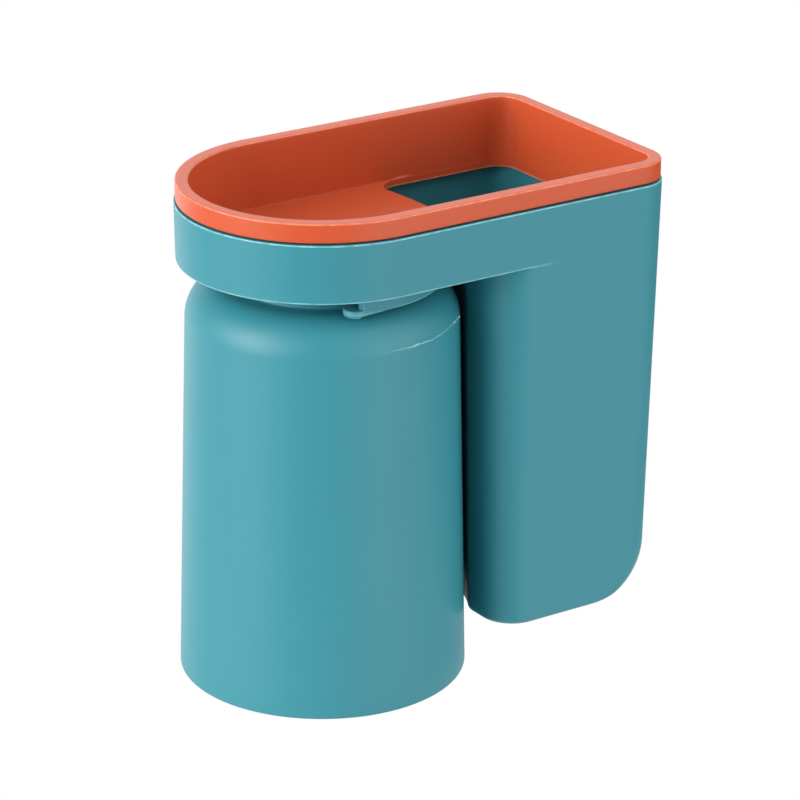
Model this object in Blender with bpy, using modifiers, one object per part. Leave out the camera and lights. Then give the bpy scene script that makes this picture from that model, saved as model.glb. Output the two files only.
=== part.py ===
"""Stick-on toothbrush holder.

A D-shaped holder with a deep toothbrush pocket hangs on a wall plate that an adhesive pad holds.
A storage tray drops into its top, and a cup hangs upside down from a rail under its round end.

The pad's wall face is the plane Y = 0, with its centre at the origin; +Y points into the wall.
Everything on the holder is drawn in the holder's own frame: X across, Y = 0 on its back face and
Z = 0 on its top edge. All lengths are in metres.
"""

import math

import bmesh
import bpy

# Holder: outer form
HOLDER_WIDTH = 0.0760
HOLDER_DEPTH = 0.1231
BACK_CORNER_RADIUS = 0.0099
SHELF_HEIGHT = 0.0160
POCKET_HEIGHT = 0.1178
FOOT_RADIUS = 0.0025
BACK_FOOT_RADIUS = 0.0150
DRAFT = math.radians(1.18)

# Holder: walls
HOLDER_WALL = 0.0020
SHELF_FLOOR = 0.0011
POCKET_FLOOR = 0.0022

# Holder: pocket's front, with the bay that is scooped in it behind the cup
BAY_GAP = 0.0008
BAY_SCOOP = 0.0055
BAY_EDGE_RADIUS = 0.0050
FRONT_LAND = 0.0062
CORNER_RUN_OUT = math.radians(6.0)

# Holder: keyway for the wall plate's tongue
KEYWAY_BELOW_TOP = 0.0220
KEYWAY_LIP = 0.0026
KEYWAY_WALL = 0.0018
WINDOW_CLEARANCE = 0.0004

# Holder: drain holes in the pocket's floor
DRAIN_RADIUS = 0.0023
DRAIN_SPACING = 0.0150
DRAIN_COUNT = 3

# Holder: rail that the cup hangs from
RAIL_INSET = 0.0065
RAIL_WEB = 0.0026
RAIL_LIP_REACH = 0.0068
RAIL_SLOT = 0.0038
RAIL_LIP = 0.0022
RAIL_LEG = 0.0113
RAIL_EDGE_RADIUS = 0.0009

# Storage tray
RIM_HEIGHT = 0.0047
RIM_WIDTH = 0.0033
RIM_SETBACK = 0.0004
RIM_EDGE_RADIUS = 0.0005
TRAY_FLOOR = 0.0014
TRAY_SIDE_GAP = 0.0003
OPENING_DEPTH = 0.0453
OPENING_CORNER_RADIUS = 0.0020
OPENING_LEDGE = 0.0001

# Cup
CUP_HEIGHT = 0.1079
CUP_TAPER = 0.0024
CUP_SHOULDER_WIDTH = 0.0089
CUP_SHOULDER_HEIGHT = 0.01015
CUP_WALL = 0.0021
CUP_BASE = 0.0022
CUP_LIP_RADIUS = 0.0009
NECK_GAP = 0.0010
NECK_HEIGHT = 0.0029
NECK_WALL = 0.0023
FLANGE_THICKNESS = 0.0020
FLANGE_SIDE_GAP = 0.0006
FLANGE_EDGE_RADIUS = 0.0004

# Wall plate with its tongue
PLATE_WIDTH = 0.0440
PLATE_HEIGHT = 0.0600
PLATE_THICKNESS = 0.0016
PLATE_CORNER_RADIUS = 0.0050
HEAD_WIDTH = 0.0214
HEAD_HEIGHT = 0.0240
HEAD_THICKNESS = 0.0018
HEAD_CORNER_RADIUS = 0.0015
HEAD_ABOVE_CENTRE = 0.0197
STEM_WIDTH = 0.0114
STEM_INSET = 0.0010

# Adhesive pad
PAD_THICKNESS = 0.0008
PAD_MARGIN = 0.0010

# Fits and overruns
SEAT_GAP = 0.0003
CUT_OVERRUN = 0.0010
SINK = 0.0005
MERGE_DISTANCE = 0.000001
CREASE_ANGLE = math.radians(30)

# Steps round the curves
ROUND_END_STEPS = 48
CORNER_STEPS = 8
BAY_STEPS = 28
FRONT_CORNER_STEPS = 10
FOOT_STEPS = 4
BACK_FOOT_STEPS = 7
EDGE_STEPS = 3
CUP_STEPS = 64
SHOULDER_STEPS = 8
DRAIN_STEPS = 24

# Places that follow from the sizes
HALF_WIDTH = HOLDER_WIDTH / 2
CUP_AXIS_Y = HALF_WIDTH - HOLDER_DEPTH
CUP_MOUTH_RADIUS = HALF_WIDTH
BAY_WALL_RADIUS = CUP_MOUTH_RADIUS - CUP_TAPER + BAY_GAP
POCKET_FRONT_Y = CUP_AXIS_Y + BAY_WALL_RADIUS - BAY_SCOOP
BAY_EDGE_X = math.sqrt(BAY_SCOOP * (2 * (BAY_WALL_RADIUS + BAY_EDGE_RADIUS) - BAY_SCOOP))
FRONT_CORNER_RADIUS = HALF_WIDTH - BAY_EDGE_X - FRONT_LAND
RAIL_OUTER_RADIUS = HALF_WIDTH - RAIL_INSET
NECK_RADIUS = RAIL_OUTER_RADIUS - RAIL_LIP_REACH - NECK_GAP
WELL_FLOOR_Z = SHELF_FLOOR - SHELF_HEIGHT
TRAY_UNDERSIDE_Z = WELL_FLOOR_Z + SEAT_GAP
RAIL_LIP_TOP_Z = -SHELF_HEIGHT - RAIL_SLOT
RAIL_NOSE_Y = CUP_AXIS_Y - RAIL_LEG + RAIL_LIP_REACH / 2
PLATE_BACK_Y = -PAD_THICKNESS - SEAT_GAP
HOLDER_BACK_Y = PLATE_BACK_Y - PLATE_THICKNESS - SEAT_GAP
HOLDER_TOP_Z = HEAD_ABOVE_CENTRE + SEAT_GAP + KEYWAY_BELOW_TOP
KEYWAY_HALF_WIDTH = HEAD_WIDTH / 2 + SEAT_GAP
KEYWAY_DEPTH = KEYWAY_LIP + SEAT_GAP + HEAD_THICKNESS + SEAT_GAP
KEYWAY_LIP_LENGTH = HEAD_HEIGHT + SEAT_GAP + SEAT_GAP + HEAD_CORNER_RADIUS


def clear_scene():
    """Remove whatever the scene holds."""
    for old in list(bpy.data.objects):
        bpy.data.objects.remove(old, do_unlink=True)


def new_collection(name):
    """Add a collection to the scene."""
    collection = bpy.data.collections.new(name)
    bpy.context.scene.collection.children.link(collection)
    return collection


def plastic(name, colour, roughness):
    """A moulded plastic with one colour."""
    material = bpy.data.materials.new(name)
    material.use_nodes = True
    shader = material.node_tree.nodes["Principled BSDF"]
    shader.inputs["Base Color"].default_value = (*colour, 1.0)
    shader.inputs["Roughness"].default_value = roughness
    shader.inputs["Metallic"].default_value = 0.0
    return material


def drawn_in(z):
    """How far the mould's draft draws a wall in at height z, measured from the top edge."""
    return -z * math.tan(DRAFT)


def oval_arc(centre_x, centre_y, reach_x, reach_y, start, end, steps):
    """Points along an arc of an ellipse, both ends included."""
    angles = [start + (end - start) * step / steps for step in range(steps + 1)]
    return [(centre_x + reach_x * math.cos(a), centre_y + reach_y * math.sin(a)) for a in angles]


def arc(centre_x, centre_y, radius, start, end, steps):
    """Points along a round arc, both ends included."""
    return oval_arc(centre_x, centre_y, radius, radius, start, end, steps)


def back_corners(inset, foot=0, back_foot=0):
    """The two rounded corners against the wall, from +X to -X, drawn in by the inset.

    The foot's rounding draws the sides in by foot and the back by back_foot, with the corner
    radius as it was.
    """
    radius = BACK_CORNER_RADIUS - inset
    centre_x = HALF_WIDTH - inset - foot - radius
    centre_y = -inset - back_foot - radius
    right = arc(centre_x, centre_y, radius, 0, math.pi / 2, CORNER_STEPS)
    left = arc(-centre_x, centre_y, radius, math.pi / 2, math.pi, CORNER_STEPS)
    return right + left


def d_outline(inset, foot=0, back_foot=0):
    """The holder's D: flat back with rounded corners, straight sides and a half-round front."""
    front = arc(0, CUP_AXIS_Y, HALF_WIDTH - inset - foot, math.pi, 2 * math.pi, ROUND_END_STEPS)
    return back_corners(inset, foot, back_foot) + front


def bay_outline(inset, foot=0, _back_foot=0):
    """What is cut away in front of the pocket, whose back is rounded at the foot on its own.

    It follows a round corner, the pocket's flat front, a rounded edge and the bay, which is an
    arc about the cup's axis, and then the same mirrored. The corners stop just short of the
    holder's sides and run straight out, so the two faces cross cleanly.
    """
    wall_radius = BAY_WALL_RADIUS + inset + foot
    edge_radius = BAY_EDGE_RADIUS - inset
    corner_radius = FRONT_CORNER_RADIUS - inset
    front_y = POCKET_FRONT_Y + inset + foot
    corner_x = HALF_WIDTH - inset - foot - corner_radius
    corner_y = front_y + corner_radius
    edge_y = front_y + edge_radius
    edge_rise = edge_y - CUP_AXIS_Y
    edge_x = math.sqrt((wall_radius + edge_radius) ** 2 - edge_rise ** 2)
    touch = math.atan2(edge_rise, edge_x)
    down = 3 * math.pi / 2
    left = arc(-corner_x, corner_y, corner_radius, math.pi + CORNER_RUN_OUT, down, FRONT_CORNER_STEPS)
    left += arc(-edge_x, edge_y, edge_radius, down, 2 * math.pi - touch, CORNER_STEPS)
    bay = arc(0, CUP_AXIS_Y, wall_radius, math.pi - touch, touch, BAY_STEPS)
    right = arc(edge_x, edge_y, edge_radius, math.pi + touch, down, CORNER_STEPS)
    right += arc(corner_x, corner_y, corner_radius, down, 2 * math.pi - CORNER_RUN_OUT, FRONT_CORNER_STEPS)
    reach_x = HOLDER_WIDTH
    tip_x, tip_y = right[-1]
    out_y = tip_y + (reach_x - tip_x) / math.tan(CORNER_RUN_OUT)
    far_y = CUP_AXIS_Y - HOLDER_WIDTH
    frame = [(reach_x, out_y), (reach_x, far_y), (-reach_x, far_y), (-reach_x, out_y)]
    return left + bay[1:-1] + right + frame


def rounded_rectangle(width, height, radius, centre=(0, 0)):
    """A rectangle with four equal round corners."""
    corners = [(1, 1, 0), (-1, 1, 1), (-1, -1, 2), (1, -1, 3)]
    points = []
    for side_x, side_y, quarter in corners:
        corner_x = centre[0] + side_x * (width / 2 - radius)
        corner_y = centre[1] + side_y * (height / 2 - radius)
        start = quarter * math.pi / 2
        points += arc(corner_x, corner_y, radius, start, start + math.pi / 2, CORNER_STEPS)
    return points


def new_object(name, bm, collection, material=None):
    """Put a bmesh into an object of its own and point its faces outwards."""
    bmesh.ops.remove_doubles(bm, verts=bm.verts, dist=MERGE_DISTANCE)
    bmesh.ops.recalc_face_normals(bm, faces=bm.faces)
    mesh = bpy.data.meshes.new(name)
    bm.to_mesh(mesh)
    bm.free()
    obj = bpy.data.objects.new(name, mesh)
    collection.objects.link(obj)
    if material:
        mesh.materials.append(material)
    return obj


def loft(name, sections, collection, material=None):
    """A closed solid through a stack of outlines: each is a list of (x, y) and a height z."""
    bm = bmesh.new()
    rings = [[bm.verts.new((x, y, z)) for x, y in outline] for outline, z in sections]
    for lower, upper in zip(rings, rings[1:]):
        for i, vert in enumerate(lower):
            j = (i + 1) % len(lower)
            bm.faces.new((vert, lower[j], upper[j], upper[i]))
    bm.faces.new(rings[0])
    bm.faces.new(rings[-1])
    return new_object(name, bm, collection, material)


def block(name, low, high, collection):
    """A box between two corners."""
    bm = bmesh.new()
    bmesh.ops.create_cube(bm, size=1)
    for vert in bm.verts:
        vert.co = [low[i] + (high[i] - low[i]) * (vert.co[i] + 1 / 2) for i in range(3)]
    return new_object(name, bm, collection)


def as_cutter(obj):
    """Show a helper shape as wire and keep it out of the picture."""
    obj.display_type = "WIRE"
    obj.hide_render = True
    return obj


def combine(obj, operation, *helpers):
    """Cut helpers from an object, or join them to it."""
    for helper in helpers:
        modifier = obj.modifiers.new(f"{operation.lower()} {helper.name}", "BOOLEAN")
        modifier.operation = operation
        modifier.solver = "EXACT"
        modifier.object = helper


def shade_round(obj):
    """Smooth the curved faces and keep the edges crisp."""
    obj.data.shade_smooth()
    obj.data.set_sharp_from_angle(angle=CREASE_ANGLE)


def place(obj, parent, location=(0, 0, 0)):
    """Hang an object on its parent."""
    obj.parent = parent
    obj.location = location


def round_in(z, foot_z, radius):
    """How far a quarter-round edge of this radius draws a wall in at height z above the foot."""
    drop = min(max((foot_z + radius - z) / radius, 0), 1)
    return radius * (1 - math.sqrt(1 - drop * drop))


def foot_sections(outline_of, wall, top_z, foot_z):
    """Outlines from a top level down a drafted wall and round the foot's edges.

    The back is rounded more than the sides and the bay, so each height has both draw-ins.
    """
    radius = FOOT_RADIUS - wall
    back_radius = BACK_FOOT_RADIUS - wall
    levels = {top_z, foot_z + radius}
    for steps, size in ((FOOT_STEPS, radius), (BACK_FOOT_STEPS, back_radius)):
        angles = [step / steps * math.pi / 2 for step in range(steps)]
        levels.update(foot_z + size * (1 - math.sin(angle)) for angle in angles)
    sections = []
    for z in sorted(levels, reverse=True) + [foot_z]:
        foot = round_in(z, foot_z, radius)
        back_foot = round_in(z, foot_z, back_radius)
        sections.append((outline_of(wall + drawn_in(z), foot, back_foot), z))
    return sections


def pocketed_form(name, wall, top_z, shelf_z, foot_z, collection, cutters, material=None):
    """The D-shaped shelf and its pocket as one solid, drawn in by a wall's thickness.

    Drawn once with no wall it is the outside, and once with the wall it is the hollow.
    """
    form = loft(name, foot_sections(d_outline, wall, top_z, foot_z), collection, material)
    bay_sections = foot_sections(bay_outline, wall, shelf_z, foot_z)
    bay_sections.append((bay_sections[-1][0], foot_z - CUT_OVERRUN))
    bay = as_cutter(loft(f"{name}_cup_bay", bay_sections, cutters))
    combine(form, "DIFFERENCE", bay)
    return form, bay


def rail_outline(inset):
    """The lip from above, drawn in by the inset: a U round the cup's axis with round leg ends."""
    outer = RAIL_OUTER_RADIUS - inset
    inner = RAIL_OUTER_RADIUS - RAIL_LIP_REACH + inset
    nose = (outer - inner) / 2
    outer_arc = arc(0, CUP_AXIS_Y, outer, 0, math.pi, BAY_STEPS)
    left_nose = arc(-inner - nose, RAIL_NOSE_Y, nose, math.pi, 2 * math.pi, CORNER_STEPS)
    inner_arc = arc(0, CUP_AXIS_Y, inner, math.pi, 0, BAY_STEPS)
    right_nose = arc(inner + nose, RAIL_NOSE_Y, nose, math.pi, 2 * math.pi, CORNER_STEPS)
    return outer_arc + left_nose + inner_arc + right_nose


def build_rail(cutters):
    """The rail's moulding: a U band with a rounded foot, hollowed by the slot for the flange.

    In front of the legs the slot widens, so the web ends square and only the lips' round noses
    go on.
    """
    bottom_z = RAIL_LIP_TOP_Z - RAIL_LIP
    sections = []
    for step in range(EDGE_STEPS + 1):
        angle = step / EDGE_STEPS * math.pi / 2
        inset = RAIL_EDGE_RADIUS * (1 - math.sin(angle))
        sections.append((rail_outline(inset), bottom_z + RAIL_EDGE_RADIUS * (1 - math.cos(angle))))
    sections.append((rail_outline(0), SINK - SHELF_HEIGHT))
    band = loft("rail_band", sections, cutters)
    reach = RAIL_OUTER_RADIUS - RAIL_WEB
    front_y = CUP_AXIS_Y - HALF_WIDTH
    channel = arc(0, CUP_AXIS_Y, reach, 0, math.pi, BAY_STEPS) + [
        (-reach, RAIL_NOSE_Y),
        (-HALF_WIDTH, RAIL_NOSE_Y),
        (-HALF_WIDTH, front_y),
        (HALF_WIDTH, front_y),
        (HALF_WIDTH, RAIL_NOSE_Y),
        (reach, RAIL_NOSE_Y),
    ]
    slot_top = SINK / 2 - SHELF_HEIGHT
    slot = loft("rail_slot", [(channel, RAIL_LIP_TOP_Z), (channel, slot_top)], cutters)
    combine(band, "DIFFERENCE", as_cutter(slot))
    return as_cutter(band), slot


def build_holder(seat, parts, cutters, teal):
    """The holder: one moulding with the tray's well, the pocket, the keyway and the cup's rail."""
    body, outer_bay = pocketed_form(
        "holder_body", 0, 0, -SHELF_HEIGHT, -POCKET_HEIGHT, parts, cutters, teal
    )
    hollow_foot = POCKET_FLOOR - POCKET_HEIGHT
    hollow, inner_bay = pocketed_form(
        "pocket_hollow", HOLDER_WALL, CUT_OVERRUN, WELL_FLOOR_Z, hollow_foot, cutters, cutters
    )
    boss_half_width = KEYWAY_HALF_WIDTH + KEYWAY_WALL
    boss_low = (-boss_half_width, -KEYWAY_DEPTH - KEYWAY_WALL, -POCKET_HEIGHT - CUT_OVERRUN)
    boss_high = (boss_half_width, CUT_OVERRUN, KEYWAY_WALL - KEYWAY_BELOW_TOP)
    boss = as_cutter(block("keyway_boss", boss_low, boss_high, cutters))
    combine(hollow, "DIFFERENCE", boss)
    as_cutter(hollow)

    lip_end_z = -KEYWAY_BELOW_TOP - KEYWAY_LIP_LENGTH
    slot_half_width = STEM_WIDTH / 2 + SEAT_GAP
    t_outline = [
        (KEYWAY_HALF_WIDTH, -KEYWAY_DEPTH),
        (KEYWAY_HALF_WIDTH, -KEYWAY_LIP),
        (slot_half_width, -KEYWAY_LIP),
        (slot_half_width, CUT_OVERRUN),
        (-slot_half_width, CUT_OVERRUN),
        (-slot_half_width, -KEYWAY_LIP),
        (-KEYWAY_HALF_WIDTH, -KEYWAY_LIP),
        (-KEYWAY_HALF_WIDTH, -KEYWAY_DEPTH),
    ]
    t_sections = [(t_outline, lip_end_z - CUT_OVERRUN), (t_outline, -KEYWAY_BELOW_TOP)]
    keyway = as_cutter(loft("keyway", t_sections, cutters))
    window_half_width = KEYWAY_HALF_WIDTH + WINDOW_CLEARANCE
    window_low = (-window_half_width, -KEYWAY_DEPTH - WINDOW_CLEARANCE, -POCKET_HEIGHT - CUT_OVERRUN)
    window_high = (window_half_width, CUT_OVERRUN, lip_end_z)
    window = as_cutter(block("keyway_window", window_low, window_high, cutters))

    rail, slot = build_rail(cutters)
    combine(body, "DIFFERENCE", hollow, keyway, window)
    combine(body, "UNION", rail)

    floor_front_y = CUP_AXIS_Y + BAY_WALL_RADIUS + drawn_in(hollow_foot) + FOOT_RADIUS
    floor_back_y = -drawn_in(hollow_foot) - BACK_FOOT_RADIUS
    drain_y = (floor_front_y + floor_back_y) / 2
    for i in range(DRAIN_COUNT):
        drain_x = (i - (DRAIN_COUNT - 1) / 2) * DRAIN_SPACING
        circle = arc(drain_x, drain_y, DRAIN_RADIUS, 0, 2 * math.pi, DRAIN_STEPS)[:-1]
        low_z = -POCKET_HEIGHT - CUT_OVERRUN
        drain = loft(f"drain_hole_{i + 1}", [(circle, low_z), (circle, hollow_foot + CUT_OVERRUN)], cutters)
        combine(body, "DIFFERENCE", as_cutter(drain))
        place(drain, seat)
    for obj in (body, outer_bay, hollow, inner_bay, boss, keyway, window, rail, slot):
        place(obj, seat)
    shade_round(body)


def build_tray(seat, parts, cutters, orange):
    """The storage tray: a rim on the holder's edge, a basin in its well and a floor that stops
    short of the toothbrush pocket."""
    rim_top = SEAT_GAP + RIM_HEIGHT
    skin = HOLDER_WALL + TRAY_SIDE_GAP
    floor_top = TRAY_UNDERSIDE_Z + TRAY_FLOOR

    rim_inner = RIM_SETBACK + RIM_WIDTH

    def basin_inset(z):
        return rim_inner + drawn_in(z - rim_top)

    sections = [
        (d_outline(skin + drawn_in(TRAY_UNDERSIDE_Z)), TRAY_UNDERSIDE_Z),
        (d_outline(skin), SEAT_GAP),
        (d_outline(RIM_SETBACK), SEAT_GAP),
    ]
    for step in range(EDGE_STEPS + 1):
        angle = step / EDGE_STEPS * math.pi / 2
        inset = RIM_SETBACK + RIM_EDGE_RADIUS * (1 - math.cos(angle))
        sections.append((d_outline(inset), rim_top - RIM_EDGE_RADIUS * (1 - math.sin(angle))))
    for step in range(EDGE_STEPS + 1):
        angle = step / EDGE_STEPS * math.pi / 2
        inset = rim_inner - RIM_EDGE_RADIUS * (1 - math.sin(angle))
        sections.append((d_outline(inset), rim_top - RIM_EDGE_RADIUS * (1 - math.cos(angle))))
    sections.append((d_outline(basin_inset(floor_top)), floor_top))
    tray = loft("storage_tray", sections, parts, orange)

    edge = basin_inset(floor_top) + OPENING_LEDGE
    width = HOLDER_WIDTH - edge - edge
    length = OPENING_DEPTH - edge
    centre_y = -(OPENING_DEPTH + edge) / 2
    wall_radius = BACK_CORNER_RADIUS - edge
    near_x = width / 2 - OPENING_CORNER_RADIUS
    near_y = centre_y - length / 2 + OPENING_CORNER_RADIUS
    far_x = width / 2 - wall_radius
    far_y = centre_y + length / 2 - wall_radius
    outline = arc(far_x, far_y, wall_radius, 0, math.pi / 2, CORNER_STEPS)
    outline += arc(-far_x, far_y, wall_radius, math.pi / 2, math.pi, CORNER_STEPS)
    outline += arc(-near_x, near_y, OPENING_CORNER_RADIUS, math.pi, 3 * math.pi / 2, CORNER_STEPS)
    outline += arc(near_x, near_y, OPENING_CORNER_RADIUS, 3 * math.pi / 2, 2 * math.pi, CORNER_STEPS)
    opening_sections = [(outline, TRAY_UNDERSIDE_Z - CUT_OVERRUN), (outline, floor_top + CUT_OVERRUN)]
    opening = as_cutter(loft("tray_opening", opening_sections, cutters))
    combine(tray, "DIFFERENCE", opening)
    place(tray, seat)
    place(opening, seat)
    shade_round(tray)


def cup_profile():
    """Half section of the hanging cup, from the top of its axis down the outside and up the inside.

    Heights are measured from the underside of the flange.
    """
    flange_radius = RAIL_OUTER_RADIUS - RAIL_WEB - FLANGE_SIDE_GAP
    recess_radius = NECK_RADIUS - NECK_WALL
    base_z = -NECK_HEIGHT
    mouth_z = base_z - CUP_HEIGHT
    edge = FLANGE_EDGE_RADIUS
    shoulder_x = CUP_MOUTH_RADIUS - CUP_TAPER - CUP_SHOULDER_WIDTH
    shoulder_z = base_z - CUP_SHOULDER_HEIGHT
    neck_angle = math.acos(max(NECK_RADIUS - shoulder_x, 0) / CUP_SHOULDER_WIDTH)
    neck_foot_z = shoulder_z + CUP_SHOULDER_HEIGHT * math.sin(neck_angle)
    inner_width = CUP_SHOULDER_WIDTH - CUP_WALL
    inner_height = CUP_SHOULDER_HEIGHT - CUP_WALL
    inner_z = base_z - CUP_BASE - inner_height
    lip_x = CUP_MOUTH_RADIUS - CUP_LIP_RADIUS
    lip_inner_x = CUP_MOUTH_RADIUS - CUP_WALL + CUP_LIP_RADIUS
    lip_z = mouth_z + CUP_LIP_RADIUS
    quarter = math.pi / 2

    points = [(0, base_z), (recess_radius, base_z), (recess_radius, FLANGE_THICKNESS)]
    points += arc(flange_radius - edge, FLANGE_THICKNESS - edge, edge, quarter, 0, EDGE_STEPS)
    points += arc(flange_radius - edge, edge, edge, 0, -quarter, EDGE_STEPS)
    points += [(NECK_RADIUS, 0), (NECK_RADIUS, neck_foot_z)]
    points += oval_arc(
        shoulder_x, shoulder_z, CUP_SHOULDER_WIDTH, CUP_SHOULDER_HEIGHT, neck_angle, 0, SHOULDER_STEPS
    )
    points += arc(lip_x, lip_z, CUP_LIP_RADIUS, 0, -quarter, EDGE_STEPS)
    points += arc(lip_inner_x, lip_z, CUP_LIP_RADIUS, -quarter, -math.pi, EDGE_STEPS)
    points += oval_arc(shoulder_x, inner_z, inner_width, inner_height, 0, quarter, SHOULDER_STEPS)
    points.append((0, base_z - CUP_BASE))
    return points


def build_cup(seat, parts, teal):
    """The cup: a turned shape on its own upright axis, hung by its flange on the rail's lips."""
    mesh = bpy.data.meshes.new("cup")
    points = cup_profile()
    edges = [(i, i + 1) for i in range(len(points) - 1)]
    mesh.from_pydata([(x, 0, z) for x, z in points], edges, [])
    mesh.materials.append(teal)
    cup = bpy.data.objects.new("cup", mesh)
    parts.objects.link(cup)
    screw = cup.modifiers.new("turned about the axis", "SCREW")
    screw.axis = "Z"
    screw.steps = CUP_STEPS
    screw.render_steps = CUP_STEPS
    screw.use_merge_vertices = True
    screw.merge_threshold = MERGE_DISTANCE
    screw.use_smooth_shade = True
    place(cup, seat, (0, CUP_AXIS_Y, RAIL_LIP_TOP_Z + SEAT_GAP))


def build_wall_plate(frame, parts, cutters, white):
    """The wall plate: a rounded plate with a T-shaped tongue that the holder slides down over.

    It is drawn lying flat, with its thickness along Z, and turned to stand against the wall.
    """
    plate_outline = rounded_rectangle(PLATE_WIDTH, PLATE_HEIGHT, PLATE_CORNER_RADIUS)
    plate = loft("wall_plate", [(plate_outline, 0), (plate_outline, PLATE_THICKNESS)], parts, white)
    centre = (0, HEAD_ABOVE_CENTRE - HEAD_HEIGHT / 2)
    stem_height = HEAD_HEIGHT - STEM_INSET - STEM_INSET
    stem = rounded_rectangle(STEM_WIDTH, stem_height, HEAD_CORNER_RADIUS, centre)
    head = rounded_rectangle(HEAD_WIDTH, HEAD_HEIGHT, HEAD_CORNER_RADIUS, centre)
    head_z = PLATE_THICKNESS + SEAT_GAP + KEYWAY_LIP + SEAT_GAP
    tongue_sections = [
        (stem, PLATE_THICKNESS - SINK),
        (stem, head_z),
        (head, head_z),
        (head, head_z + HEAD_THICKNESS),
    ]
    tongue = as_cutter(loft("plate_tongue", tongue_sections, cutters))
    combine(plate, "UNION", tongue)
    for obj in (plate, tongue):
        place(obj, frame, (0, PLATE_BACK_Y, 0))
        obj.rotation_euler = (math.pi / 2, 0, 0)
    shade_round(plate)


def build_pad(frame, parts, clear):
    """The adhesive pad between the plate and the wall."""
    width = PLATE_WIDTH - PAD_MARGIN - PAD_MARGIN
    height = PLATE_HEIGHT - PAD_MARGIN - PAD_MARGIN
    outline = rounded_rectangle(width, height, PLATE_CORNER_RADIUS - PAD_MARGIN)
    pad = loft("adhesive_pad", [(outline, 0), (outline, PAD_THICKNESS)], parts, clear)
    place(pad, frame)
    pad.rotation_euler = (math.pi / 2, 0, 0)
    shade_round(pad)


def new_empty(name, collection, parent=None, location=(0, 0, 0)):
    """An empty that marks a seat or a frame."""
    empty = bpy.data.objects.new(name, None)
    empty.empty_display_size = PAD_MARGIN
    collection.objects.link(empty)
    empty.parent = parent
    empty.location = location
    return empty


def main():
    """Build the whole holder."""
    clear_scene()
    parts = new_collection("toothbrush_holder")
    cutters = new_collection("cutters")
    teal = plastic("moulded_teal", (0.060, 0.330, 0.370), 0.45)
    orange = plastic("moulded_orange", (0.700, 0.130, 0.055), 0.45)
    white = plastic("moulded_white", (0.800, 0.800, 0.780), 0.40)
    clear = plastic("acrylic_adhesive", (0.700, 0.720, 0.720), 0.30)

    frame = new_empty("wall_frame", parts)
    seat = new_empty("holder_seat", parts, frame, (0, HOLDER_BACK_Y, HOLDER_TOP_Z))
    build_holder(seat, parts, cutters, teal)
    build_tray(seat, parts, cutters, orange)
    build_cup(seat, parts, teal)
    build_wall_plate(frame, parts, cutters, white)
    build_pad(frame, parts, clear)


main()
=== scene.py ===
"""Looks of a stick-on toothbrush holder.

A teal moulded holder with a deep pocket, an orange storage tray in its top, and a teal cup that
hangs upside down from a rail. The shapes are worked out in millimetres in the holder's own frame:
X across, Y = 0 on the holder's back face with the wall beyond it, Z = 0 on the holder's top edge.
"""

import math

import bmesh
import bpy
import numpy as np
from mathutils import Matrix, Vector


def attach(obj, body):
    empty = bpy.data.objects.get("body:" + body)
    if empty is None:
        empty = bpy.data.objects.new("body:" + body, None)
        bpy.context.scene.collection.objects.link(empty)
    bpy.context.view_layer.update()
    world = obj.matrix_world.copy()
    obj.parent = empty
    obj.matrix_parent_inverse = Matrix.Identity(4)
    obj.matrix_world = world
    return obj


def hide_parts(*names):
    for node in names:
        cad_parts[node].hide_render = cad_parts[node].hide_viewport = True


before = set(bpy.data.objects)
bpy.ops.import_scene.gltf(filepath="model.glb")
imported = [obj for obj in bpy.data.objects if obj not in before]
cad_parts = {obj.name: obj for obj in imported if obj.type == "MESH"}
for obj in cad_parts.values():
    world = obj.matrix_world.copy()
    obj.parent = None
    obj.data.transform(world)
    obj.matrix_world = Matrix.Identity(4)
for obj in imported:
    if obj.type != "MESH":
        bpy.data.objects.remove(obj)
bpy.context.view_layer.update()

MM = 0.001
WELD = 2e-6  # points nearer than this, in metres, become one
CREASE = math.radians(30)  # edges that bend more than this stay sharp
HOLDER_SEAT = (0.0, -3.0, 42.0)  # where the holder's own frame sits in the part's frame

# Holder, in millimetres
HALF_WIDTH = 38.0
CUP_AXIS_Y = -85.1
BACK_CORNER = 9.9
SHELF_Z = -16.15
FOOT_Z = -117.8
FOOT_ROUND = 2.5
BACK_FOOT_ROUND = 15.0
DRAFT = math.tan(math.radians(1.18))
WALL = 2.0
SHELF_FLOOR = 1.1
POCKET_FLOOR = 2.2
FRONT_Y = -54.2
FRONT_CORNER = 11.2
BAY_RADIUS = 36.4
BAY_EDGE = 5.0
EDGE = 0.30
RING_TOP = -0.55  # the ring's top stays just under the tray's rim
LIP_ROW = 1.9  # the row of points on the lip's flat top, in edge rounds from the wall's face
RING_ROWS = (-2.0, -5.0, -8.0, -11.0)  # heights of the rows of points down the ring's wall
SHELF_ROWS = (0.02, 0.1, 0.3, 0.5, 0.7, 0.9, 0.98)  # rows across the shelf, as shares of the way
POCKET_ROWS_END = -90.0  # height of the last row down the pocket's wall
FOOT_ROWS = (1.1, 1.5)  # rows over the back's foot, in its rounds
BOSS_ROWS = (1.0, -0.5, -1.5)  # rows down the boss's top, in its slopes
KEYWAY_TOP_Z = -22.0
LIP_END_Z = -48.1
KEYWAY_LIP = 2.6
KEYWAY_DEPTH = 5.0
KEYWAY_HALF = 11.0
SLOT_HALF = 6.0
WINDOW_HALF = 11.4
WINDOW_DEPTH = 5.4
BOSS_HALF = 12.8
BOSS_DEPTH = 6.8
BOSS_ABOVE = 2.0  # how far the boss reaches above the keyway
BOSS_SLOPES = (0.5, 0.2)  # how wide its slopes are at the sides and at the top
DRAIN_RADIUS = 2.3
DRAIN_SPACING = 15.0
DRAIN_Y = -30.6
CUT_PAST = 1.0  # how far every cut runs past the face that it leaves by

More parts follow.
